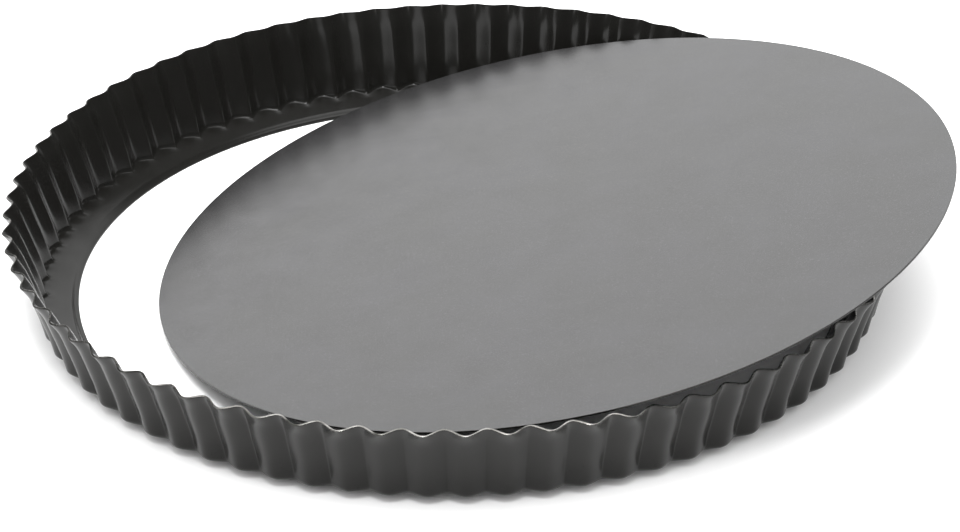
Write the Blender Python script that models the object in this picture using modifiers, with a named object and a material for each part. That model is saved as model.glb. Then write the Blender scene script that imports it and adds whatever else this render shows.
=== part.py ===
"""Fluted tart pan with a loose base, in metres, +Z up.

Two pieces of coated sheet steel: a fluted ring with an inward ledge round a large hole,
and a flat disc. The disc is out of its seat: its low edge stands on the table inside the
ring's hole, and the far side leans out over the rim. Lifting it moves it along +Z.
"""
import math

import bmesh
import bpy
from mathutils import Vector

# Ring
RING_SHEET = 0.0006  # thickness of the ring's sheet
HOLE_RADIUS = 0.1185
LIP_FLAT = 0.0008  # width of the flat foot round the hole, which stands on the table
LIP_WIDTH = 0.0030  # from the hole to where the lip has risen to the ledge
LIP_RISE = 0.0012  # how far the ledge lies above the foot
LEDGE_END = 0.1288  # mean radius where the sloping ledge reaches the fluted wall
LEDGE_RISE = 0.0016  # how much further the ledge rises on its way there
# The flaring wall: (mean radius, height, flute depth from the mean)
WALL_FOOT = (0.1298, 0.0041, 0.00115)
WALL_BELLY = (0.1335, 0.0173, 0.00103)
WALL_KINK = (0.1359, 0.0244, 0.00108)
RIM = (0.1387, 0.0295, 0.00125)
RIM_DIP = 0.0004  # how far the cut edge falls on a lobe and rises on a crease

# Flutes: wide round lobes that point outward, between narrow creases that point inward
FLUTES = 74
FLUTE_PHASE = math.radians(261.5)
DRIFT = math.radians(1.1)  # the flutes' spacing is a little uneven round the ring
DRIFT_HEADING = math.radians(33.6)
LOBE_ROUND = 0.45  # share of a flute's half that its round crest takes up
COLUMNS_PER_FLUTE = 4

# Disc
DISC_RADIUS = 0.12475
DISC_SHEET = 0.0006
DISC_SEGMENTS = 148
DISC_CENTRE = Vector((0.02963, -0.00549, 0.02380))  # from the ring's axis and the table
DISC_LEAN = math.radians(10.72)  # angle between the disc and the table
DISC_HEADING = math.radians(-10.09)  # direction in which the disc rises, from +X

RING_COLOUR = (0.050, 0.049, 0.046, 1.0)
DISC_COLOUR = (0.205, 0.205, 0.208, 1.0)


def clear_scene():
    """Remove every object of the open scene."""
    for obj in list(bpy.data.objects):
        bpy.data.objects.remove(obj, do_unlink=True)


def coated_steel(name, colour, roughness, metallic):
    """Material of the non-stick coating on the sheet."""
    material = bpy.data.materials.new(name)
    material.use_nodes = True
    shader = material.node_tree.nodes["Principled BSDF"]
    shader.inputs["Base Color"].default_value = colour
    shader.inputs["Roughness"].default_value = roughness
    shader.inputs["Metallic"].default_value = metallic
    material.diffuse_color = colour
    return material


def ring_profile():
    """Mid-sheet section of the ring from the hole to the rim: (radius, height, flute, dip)."""
    foot = RING_SHEET / 2
    ledge = foot + LIP_RISE
    flute = WALL_FOOT[2]
    slope = LEDGE_RISE / (LEDGE_END - HOLE_RADIUS - LIP_WIDTH)
    return [
        (HOLE_RADIUS, foot, 0.0, 0.0),
        (HOLE_RADIUS + LIP_FLAT, foot, 0.0, 0.0),
        (HOLE_RADIUS + LIP_WIDTH, ledge, 0.0, 0.0),
        (LEDGE_END, ledge + LEDGE_RISE, flute, -slope * flute),
        (*WALL_FOOT, 0.0),
        (*WALL_BELLY, 0.0),
        (*WALL_KINK, 0.0),
        (*RIM, RIM_DIP),
    ]


def flute_wave(side):
    """Outward travel, -1 to 1, where side runs from 0 on a crease to 1 on a lobe's middle."""
    full = math.hypot(1, LOBE_ROUND)
    return 2 * (full - math.hypot(1 - side, LOBE_ROUND)) / (full - LOBE_ROUND) - 1


def ring_columns():
    """Angle round the axis and wave of each column of the ring."""
    columns = []
    half = COLUMNS_PER_FLUTE // 2
    for column in range(FLUTES * COLUMNS_PER_FLUTE):
        phase = FLUTE_PHASE + 2 * math.pi * column / COLUMNS_PER_FLUTE
        angle = phase / FLUTES
        angle += DRIFT * math.cos(angle - DRIFT_HEADING)
        side = abs(column % COLUMNS_PER_FLUTE - half) / half
        columns.append((angle, flute_wave(side)))
    return columns


def ring_point(section, angle, wave):
    """Point of the ring's mid-sheet at an angle round its axis."""
    radius, height, flute, dip = section
    radius += flute * wave
    return Vector((radius * math.cos(angle), radius * math.sin(angle), height - dip * wave))


def fluted_ring(collection, parent):
    """Fluted wall and ledge, lofted as one open sheet and thickened with Solidify."""
    columns = ring_columns()
    mesh = bpy.data.meshes.new("fluted_ring")
    shape = bmesh.new()
    loops = []
    for section in ring_profile():
        loops.append([shape.verts.new(ring_point(section, *column)) for column in columns])
    for inner, outer in zip(loops, loops[1:]):
        for column in range(len(columns)):
            following = (column + 1) % len(columns)
            shape.faces.new((inner[column], outer[column], outer[following], inner[following]))
    shape.to_mesh(mesh)
    shape.free()
    mesh.shade_smooth()
    ring = bpy.data.objects.new("fluted_ring", mesh)
    collection.objects.link(ring)
    ring.parent = parent
    thicken = ring.modifiers.new("sheet", "SOLIDIFY")
    thicken.thickness = RING_SHEET
    thicken.offset = 0.0
    thicken.use_even_offset = True
    mesh.materials.append(coated_steel("ring_coating", RING_COLOUR, 0.38, 0.35))
    return ring


def base_disc(collection, parent):
    """Flat loose base, leaning out over the rim."""
    mesh = bpy.data.meshes.new("base_disc")
    shape = bmesh.new()
    bmesh.ops.create_cone(
        shape, cap_ends=True, segments=DISC_SEGMENTS,
        radius1=DISC_RADIUS, radius2=DISC_RADIUS, depth=DISC_SHEET,
    )
    shape.to_mesh(mesh)
    shape.free()
    mesh.shade_smooth()
    mesh.set_sharp_from_angle(angle=math.radians(30))
    disc = bpy.data.objects.new("base_disc", mesh)
    collection.objects.link(disc)
    disc.parent = parent
    disc.location = DISC_CENTRE
    disc.rotation_euler = (0.0, -DISC_LEAN, DISC_HEADING)
    mesh.materials.append(coated_steel("disc_coating", DISC_COLOUR, 0.34, 0.45))
    return disc


def centre_on_footprint(root, parts):
    """Move the root so that the whole pan's box is centred over the origin."""
    graph = bpy.context.evaluated_depsgraph_get()
    spots = []
    for part in parts:
        solid = part.evaluated_get(graph)
        spots += [solid.matrix_world @ vertex.co for vertex in solid.data.vertices]
    for axis in (0, 1):
        values = [spot[axis] for spot in spots]
        root.location[axis] = -(min(values) + max(values)) / 2


def main():
    clear_scene()
    collection = bpy.data.collections.new("tart_pan")
    bpy.context.scene.collection.children.link(collection)
    root = bpy.data.objects.new("tart_pan", None)
    collection.objects.link(root)
    parts = [fluted_ring(collection, root), base_disc(collection, root)]
    centre_on_footprint(root, parts)


main()
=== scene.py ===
"""Fluted tart pan with a loose base: the looks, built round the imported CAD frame."""

import math

import bmesh
import bpy
from mathutils import Matrix, Vector

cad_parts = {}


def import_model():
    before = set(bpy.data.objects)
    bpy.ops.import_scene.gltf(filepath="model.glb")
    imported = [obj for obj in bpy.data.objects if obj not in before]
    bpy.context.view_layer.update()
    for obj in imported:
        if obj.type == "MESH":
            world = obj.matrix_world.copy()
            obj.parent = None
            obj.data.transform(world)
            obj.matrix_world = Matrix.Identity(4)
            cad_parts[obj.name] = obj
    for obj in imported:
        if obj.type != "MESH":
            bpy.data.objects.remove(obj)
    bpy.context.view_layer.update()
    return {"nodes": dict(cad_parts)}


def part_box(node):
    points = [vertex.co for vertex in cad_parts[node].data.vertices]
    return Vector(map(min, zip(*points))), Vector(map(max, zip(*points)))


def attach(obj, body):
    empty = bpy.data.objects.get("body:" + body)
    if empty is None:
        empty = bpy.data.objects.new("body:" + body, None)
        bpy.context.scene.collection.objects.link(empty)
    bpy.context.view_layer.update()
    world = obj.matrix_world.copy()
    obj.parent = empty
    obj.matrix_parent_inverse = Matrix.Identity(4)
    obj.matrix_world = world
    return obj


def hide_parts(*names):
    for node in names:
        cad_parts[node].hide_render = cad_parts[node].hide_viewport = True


# The ring, from its own axis and the table, in metres
SHEET = 0.0006
HOLE_RADIUS = 0.1185
LIP_FLAT = 0.0008  # flat foot round the hole, which stands on the table
LIP_WIDTH = 0.0030  # from the hole to where the lip has risen to the ledge
LIP_RISE = 0.0012
LEDGE_END = 0.1292  # mean radius where the ledge meets the fluted wall
LEDGE_RISE = 0.0016  # from the lip to the wall
FOOT_FLUTE = 0.00115
# The wall above the bend: (mean radius, height, flute depth from the mean, crease rounding,
# lobe rounding)
WALL = (
    (0.1298, 0.0041, FOOT_FLUTE, 0.08, 0.45),
    (0.1313, 0.0103, 0.00108, 0.08, 0.45),
    (0.1335, 0.0173, 0.00103, 0.08, 0.45),
    (0.1359, 0.0244, 0.00108, 0.18, 0.6),
    (0.1387, 0.0295, 0.00125, 0.70, 1.2),
)
RIM_DIP = 0.0004  # how far the cut edge falls on a lobe and rises on a crease
DIP_START = 0.7  # share of the wall's length where the dip begins
EDGE_ROUND = 0.00012  # rounding of the cut edges
LIP_STEPS = 6
CORNER_STEPS = 5
WALL_STEPS = 26

# Flutes: wide round lobes that point outward, between narrow creases that point inward
FLUTES = 74
FLUTE_PHASE = math.radians(261.5)
DRIFT = math.radians(1.1)  # the flutes' spacing is a little uneven round the ring
DRIFT_HEADING = math.radians(33.6)
COLUMNS_PER_SIDE = 11
DISC_SEGMENTS = 360

RING_DARK = (0.0062, 0.0060, 0.0053)
RING_LIGHT = (0.0078, 0.0076, 0.0068)
DISC_DARK = (0.106, 0.106, 0.106)
DISC_LIGHT = (0.110, 0.110, 0.112)
CUT_DARK = (0.05, 0.05, 0.045)
CUT_LIGHT = (0.22, 0.215, 0.205)
COAT_GLOSS = 0.21  # specular level of the coating
FLOOR_WHITE = (0.9, 0.9, 0.9, 1)
AMBIENT = 1.9  # the surroundings as a light
MIRRORED = 0.13  # the surroundings in reflections

# The camera, from the ring's axis and the table
CAMERA_BACK = 0.9721
CAMERA_HEIGHT = 0.55054
CAMERA_YAW = 0.007
CAMERA_PITCH = 0.512
CAMERA_ROLL = 0.016
SENSOR_MM = 36.0
LENS_MM = 133.64


def catmull(values, share):
    """Point on a Catmull-Rom spline through tuples of numbers, share from 0 to 1."""
    spans = len(values) - 1
    place = min(share * spans, spans - 1e-9)
    span = int(place)
    t = place - span
    p0 = values[max(span - 1, 0)]
    p1 = values[span]
    p2 = values[span + 1]
    p3 = values[min(span + 2, spans)]
    result = []
    for a, b, c, d in zip(p0, p1, p2, p3):
        bend = 2 * a - 5 * b + 4 * c - d
        twist = 3 * b - a - 3 * c + d
        result.append(0.5 * (2 * b + (c - a) * t + bend * t * t + twist * t ** 3))
    return tuple(result)


def flute_wave(side, crease_round, lobe_round):
    """Outward travel, -1 to 1, where side runs from 0 on a crease to 1 on a lobe's middle."""
    soft = math.sqrt(side * side + crease_round ** 2) - crease_round
    soft /= math.sqrt(1 + crease_round ** 2) - crease_round
    full = math.sqrt(1 + lobe_round ** 2)
    rise = (full - math.sqrt((1 - soft) ** 2 + lobe_round ** 2)) / (full - lobe_round)
    return 2 * rise - 1


def flute_columns():
    """Angle of each column and its side of the flute, closer together near the creases."""
    sides = [(step / COLUMNS_PER_SIDE) ** 1.4 for step in range(COLUMNS_PER_SIDE + 1)]
    turns = [(side, side) for side in sides]
    turns += [(2 - side, side) for side in reversed(sides[1:-1])]
    columns = []
    for flute in range(FLUTES):
        for turn, side in turns:
            phase = FLUTE_PHASE + math.pi * (turn + 1) + 2 * math.pi * flute
            angle = phase / FLUTES
            columns.append((angle + DRIFT * math.cos(angle - DRIFT_HEADING), side))
    return columns


def ring_sections():
    """Mid-sheet sections from hole to rim: (radius, height, flute, crease, lobe, dip)."""
    foot = SHEET / 2
    ramp = LIP_WIDTH - LIP_FLAT
    sections = [(HOLE_RADIUS, foot, 0, 1, 1, 0), (HOLE_RADIUS + LIP_FLAT, foot, 0, 1, 1, 0)]
    for step in range(1, LIP_STEPS + 1):
        share = step / LIP_STEPS
        rise = LIP_RISE * (1 - math.cos(math.pi * share)) / 2
        sections.append((HOLE_RADIUS + LIP_FLAT + ramp * share, foot + rise, 0, 1, 1, 0))
    flat_start = HOLE_RADIUS + LIP_WIDTH
    slope = LEDGE_RISE / (LEDGE_END - flat_start)
    for share in (0.25, 0.5):
        radius = flat_start + (LEDGE_END - flat_start) * share
        sections.append((radius, foot + LIP_RISE + LEDGE_RISE * share, 0, 1, 1, 0))
    # The corner is a curve from the ledge to the wall, drawn towards the ledge's end
    ledge = (LEDGE_END, foot + LIP_RISE + LEDGE_RISE)
    corner = (2 * LEDGE_END - WALL[0][0], ledge[1] - slope * (WALL[0][0] - LEDGE_END))
    for step in range(CORNER_STEPS):
        share = step / CORNER_STEPS
        away, near, past = (1 - share) ** 2, 2 * share * (1 - share), share ** 2
        spot = [away * a + near * b + past * c for a, b, c in zip(corner, ledge, WALL[0])]
        sections.append((*spot, FOOT_FLUTE, *WALL[0][3:], -slope * FOOT_FLUTE * away))
    for step in range(WALL_STEPS + 1):
        share = step / WALL_STEPS
        radius, height, flute, crease, lobe = catmull(WALL, share)
        dip = RIM_DIP * max(0.0, (share - DIP_START) / (1 - DIP_START)) ** 2
        sections.append((radius, height, flute, crease, lobe, dip))
    return sections


def build_ring(axis_x):
    """Fine fluted ring as one thickened sheet with rounded cut edges."""
    columns = flute_columns()
    mesh = bpy.data.meshes.new("fluted_shell")
    shape = bmesh.new()
    loops = []
    for radius, height, flute, crease, lobe, dip in ring_sections():
        loop = []
        for angle, side in columns:
            wave = flute_wave(side, crease, lobe)
            out = radius + flute * wave
            spot = (axis_x + out * math.cos(angle), out * math.sin(angle), height - dip * wave)
            loop.append(shape.verts.new(spot))
        loops.append(loop)
    for inner, outer in zip(loops, loops[1:]):
        for column in range(len(columns)):
            following = (column + 1) % len(columns)
            shape.faces.new((inner[column], outer[column], outer[following], inner[following]))
    shape.to_mesh(mesh)
    shape.free()
    mesh.shade_smooth()
    ring = bpy.data.objects.new("fluted_shell", mesh)
    bpy.context.scene.collection.objects.link(ring)
    thicken = ring.modifiers.new("sheet", "SOLIDIFY")
    thicken.thickness = SHEET
    thicken.offset = 0.0
    thicken.use_even_offset = True
    thicken.material_offset_rim = 1
    soften = ring.modifiers.new("cut_edges", "BEVEL")
    soften.width = EDGE_ROUND
    soften.segments = 2
    soften.limit_method = "ANGLE"
    soften.angle_limit = math.radians(60)
    return ring


def build_disc(node):
    """Fine flat disc with a rounded edge, on the CAD disc's own plane and centre."""
    spots = [vertex.co for vertex in node.data.vertices]
    centre = sum(spots, Vector()) / len(spots)
    widest = max(node.data.polygons, key=lambda face: face.area)
    normal = widest.normal if widest.normal.z > 0 else -widest.normal
    radius = max((spot - centre).length for spot in spots)
    heights = [(spot - centre).dot(normal) for spot in spots]
    mesh = bpy.data.meshes.new("base_plate")
    shape = bmesh.new()
    bmesh.ops.create_cone(
        shape, cap_ends=True, segments=DISC_SEGMENTS,
        radius1=radius, radius2=radius, depth=max(heights) - min(heights),
    )
    shape.normal_update()
    for face in shape.faces:
        face.material_index = 0 if abs(face.normal.z) > 0.5 else 1
    lean = normal.to_track_quat("Z", "Y").to_matrix().to_4x4()
    shape.transform(Matrix.Translation(centre) @ lean)
    shape.to_mesh(mesh)
    shape.free()
    mesh.shade_smooth()
    disc = bpy.data.objects.new("base_plate", mesh)
    bpy.context.scene.collection.objects.link(disc)
    soften = disc.modifiers.new("cut_edge", "BEVEL")
    soften.width = EDGE_ROUND
    soften.segments = 3
    soften.limit_method = "ANGLE"
    soften.harden_normals = True
    return disc


class Nodes:
    """Short ways to add and join the nodes of one material."""

    def __init__(self, name):
        self.material = bpy.data.materials.new(name)
        self.material.use_nodes = True
        self.tree = self.material.node_tree
        self.shader = self.tree.nodes["Principled BSDF"]
        self.place = self.add("ShaderNodeTexCoord").outputs["Object"]

    def add(self, kind, **settings):
        node = self.tree.nodes.new(kind)
        for key, value in settings.items():
            setattr(node, key, value)
        return node

    def join(self, source, target):
        self.tree.links.new(source, target)

    def noise(self, scale, detail=2.0, roughness=0.5):
        node = self.add("ShaderNodeTexNoise")
        self.join(self.place, node.inputs["Vector"])
        node.inputs["Scale"].default_value = scale
        node.inputs["Detail"].default_value = detail
        node.inputs["Roughness"].default_value = roughness
        return node.outputs["Fac"]

    def spread(self, source, low, high, to_low, to_high):
        """Map a number from one span to another, held at the ends."""
        node = self.add("ShaderNodeMapRange")
        self.join(source, node.inputs["Value"])
        node.inputs["From Min"].default_value = low
        node.inputs["From Max"].default_value = high
        node.inputs["To Min"].default_value = to_low
        node.inputs["To Max"].default_value = to_high
        return node.outputs["Result"]

    def mix(self, share, first, second):
        """Mix two colours by a number that varies over the surface."""
        node = self.add("ShaderNodeMix", data_type="RGBA")
        self.join(share, node.inputs["Factor"])
        for value, socket in ((first, node.inputs[6]), (second, node.inputs[7])):
            if isinstance(value, tuple):
                socket.default_value = (*value, 1.0)
            else:
                self.join(value, socket)
        return node.outputs[2]

    def bump(self, height, depth, strength, below=None):
        node = self.add("ShaderNodeBump")
        node.inputs["Strength"].default_value = strength
        node.inputs["Distance"].default_value = depth
        self.join(height, node.inputs["Height"])
        if below:
            self.join(below, node.inputs["Normal"])
        return node.outputs["Normal"]


def coated_steel(name, dark, light, roughness, metallic, spray):
    """Non-stick coating: mottled tone, fine sprayed texture and patches of gloss."""
    nodes = Nodes(name)
    cloud = nodes.spread(nodes.noise(45.0, 3.0), 0.35, 0.65, 0.0, 1.0)
    fleck = nodes.spread(nodes.noise(2600.0, 1.0), 0.60, 0.74, 0.0, 0.35)
    tone = nodes.mix(cloud, dark, light)
    fleck_tone = tuple(min(1.0, part * 1.9) for part in light)
    tone = nodes.mix(fleck, tone, fleck_tone)
    nodes.join(tone, nodes.shader.inputs["Base Color"])
    gloss = nodes.spread(nodes.noise(70.0, 4.0, 0.6), 0.3, 0.7, roughness - 0.03, roughness + 0.04)
    nodes.join(gloss, nodes.shader.inputs["Roughness"])
    peel = nodes.bump(nodes.noise(900.0, 2.0), 0.00002, spray)
    grain = nodes.bump(nodes.noise(3500.0, 2.0), 0.00001, spray, peel)
    nodes.join(grain, nodes.shader.inputs["Normal"])
    nodes.shader.inputs["Metallic"].default_value = metallic
    nodes.shader.inputs["IOR"].default_value = 1.5
    nodes.shader.inputs["Specular IOR Level"].default_value = COAT_GLOSS
    return nodes.material


def cut_steel(name, coated_below):
    """Edge of the sheet: dull bare steel round the rim, coated low down round the hole."""
    nodes = Nodes(name)
    split = nodes.add("ShaderNodeSeparateXYZ")
    nodes.join(nodes.place, split.inputs[0])
    bare = nodes.spread(split.outputs["Z"], coated_below - 0.001, coated_below + 0.001, 0.0, 1.0)
    streaks = nodes.spread(nodes.noise(160.0, 3.0), 0.38, 0.62, 0.0, 1.0)
    steel = nodes.mix(streaks, CUT_DARK, CUT_LIGHT)
    nodes.join(nodes.mix(bare, RING_LIGHT, steel), nodes.shader.inputs["Base Color"])
    nodes.join(bare, nodes.shader.inputs["Metallic"])
    gloss = nodes.spread(nodes.noise(1500.0, 2.0), 0.3, 0.7, 0.22, 0.36)
    nodes.join(gloss, nodes.shader.inputs["Roughness"])
    nodes.shader.inputs["Specular IOR Level"].default_value = COAT_GLOSS
    return nodes.material


def add_camera(axis_x):
    """Camera in front of the pan, looking down at it along a slightly rolled line."""
    cy, sy = math.cos(CAMERA_YAW), math.sin(CAMERA_YAW)
    cp, sp = math.cos(CAMERA_PITCH), math.sin(CAMERA_PITCH)
    forward = Vector((sy * cp, cy * cp, -sp))
    right = Vector((cy, -sy, 0))
    down = forward.cross(right)
    cr, sr = math.cos(CAMERA_ROLL), math.sin(CAMERA_ROLL)
    right, down = cr * right + sr * down, -sr * right + cr * down
    data = bpy.data.cameras.new("camera")
    data.sensor_width = SENSOR_MM
    data.lens = LENS_MM
    data.clip_end = 50
    camera = bpy.data.objects.new("camera", data)
    bpy.context.scene.collection.objects.link(camera)
    turn = Matrix((right, -down, -forward)).transposed()
    spot = (axis_x, -CAMERA_BACK, CAMERA_HEIGHT)
    camera.matrix_world = Matrix.Translation(spot) @ turn.to_4x4()
    bpy.context.scene.camera = camera


def add_softbox(name, spot, target, size, radiance):
    """Rectangular area light whose face shows the given radiance."""
    data = bpy.data.lights.new(name, "AREA")
    data.shape = "RECTANGLE"
    data.size, data.size_y = size
    data.energy = radiance * math.pi * size[0] * size[1]
    light = bpy.data.objects.new(name, data)
    bpy.context.scene.collection.objects.link(light)
    light.location = spot
    light.rotation_euler = (Vector(target) - Vector(spot)).to_track_quat("-Z", "Y").to_euler()
    return light


def add_floor():
    """Plain white table."""
    bpy.ops.mesh.primitive_plane_add(size=6, location=(0, 0, 0))
    floor = bpy.context.object
    floor.name = "floor"
    nodes = Nodes("floor_white")
    nodes.shader.inputs["Base Color"].default_value = FLOOR_WHITE
    nodes.shader.inputs["Roughness"].default_value = 0.7
    nodes.shader.inputs["Specular IOR Level"].default_value = 0.1
    floor.data.materials.append(nodes.material)


def add_world(ambient, mirrored):
    """White surroundings, brighter overhead, that look dimmer in reflections."""
    world = bpy.data.worlds.new("studio")
    bpy.context.scene.world = world
    world.use_nodes = True
    tree = world.node_tree
    background = tree.nodes["Background"]
    background.inputs["Color"].default_value = (1, 1, 1, 1)
    path = tree.nodes.new("ShaderNodeLightPath")
    choose = tree.nodes.new("ShaderNodeMix")
    place = tree.nodes.new("ShaderNodeTexCoord")
    split = tree.nodes.new("ShaderNodeSeparateXYZ")
    tree.links.new(place.outputs["Generated"], split.inputs[0])
    height = tree.nodes.new("ShaderNodeMapRange")
    height.inputs["From Max"].default_value = 0.6
    height.inputs["To Min"].default_value = ambient * 0.15
    height.inputs["To Max"].default_value = ambient
    tree.links.new(split.outputs["Z"], height.inputs["Value"])
    tree.links.new(height.outputs["Result"], choose.inputs["A"])
    choose.inputs["B"].default_value = mirrored
    tree.links.new(path.outputs["Is Glossy Ray"], choose.inputs["Factor"])
    tree.links.new(choose.outputs["Result"], background.inputs["Strength"])


def add_lights():
    """Soft studio light; the backdrop and the panel show only in reflections."""
    add_world(AMBIENT, MIRRORED)
    add_softbox("overhead", (-0.1, 0.1, 1.6), (0, 0, 0), (1.6, 1.4), 3.8)
    add_softbox("key", (-0.1, -0.75, 1.35), (0, 0, 0), (0.3, 0.3), 26.0)
    backdrop = add_softbox("backdrop", (0.2, 2.2, 0.9), (0, 0, 0.5), (4.0, 1.7), 1.6)
    panel = add_softbox("front_left_panel", (-1.5, -1.3, 0.42), (0, 0.1, 0.03), (2.0, 0.8), 2.6)
    for light in (backdrop, panel):
        light.visible_diffuse = False


def main():
    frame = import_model()
    low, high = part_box("fluted_ring")
    axis_x = (low.x + high.x) / 2
    add_camera(axis_x)

    ring = build_ring(axis_x)
    ring.data.materials.append(coated_steel("ring_coating", RING_DARK, RING_LIGHT, 0.22, 0.0, 0.25))
    ring.data.materials.append(cut_steel("ring_cut_edge", (low.z + high.z) / 2))
    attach(ring, "ring")
    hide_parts("fluted_ring")

    disc = build_disc(frame["nodes"]["base_disc"])
    disc.data.materials.append(
        coated_steel("disc_coating", DISC_DARK, DISC_LIGHT, 0.23, 0.9, 0.15))
    # The disc's side takes the ring's dark coating, far darker than the disc's face: partly the
    # coating, partly painted shade along the edge.
    disc.data.materials.append(coated_steel("disc_edge_coat_and_painted_shade", RING_DARK, RING_LIGHT, 0.3, 0.0, 0.25))
    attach(disc, "disc")
    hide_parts("base_disc")

    add_floor()
    add_lights()
    bpy.context.scene.view_settings.view_transform = "Standard"


main()
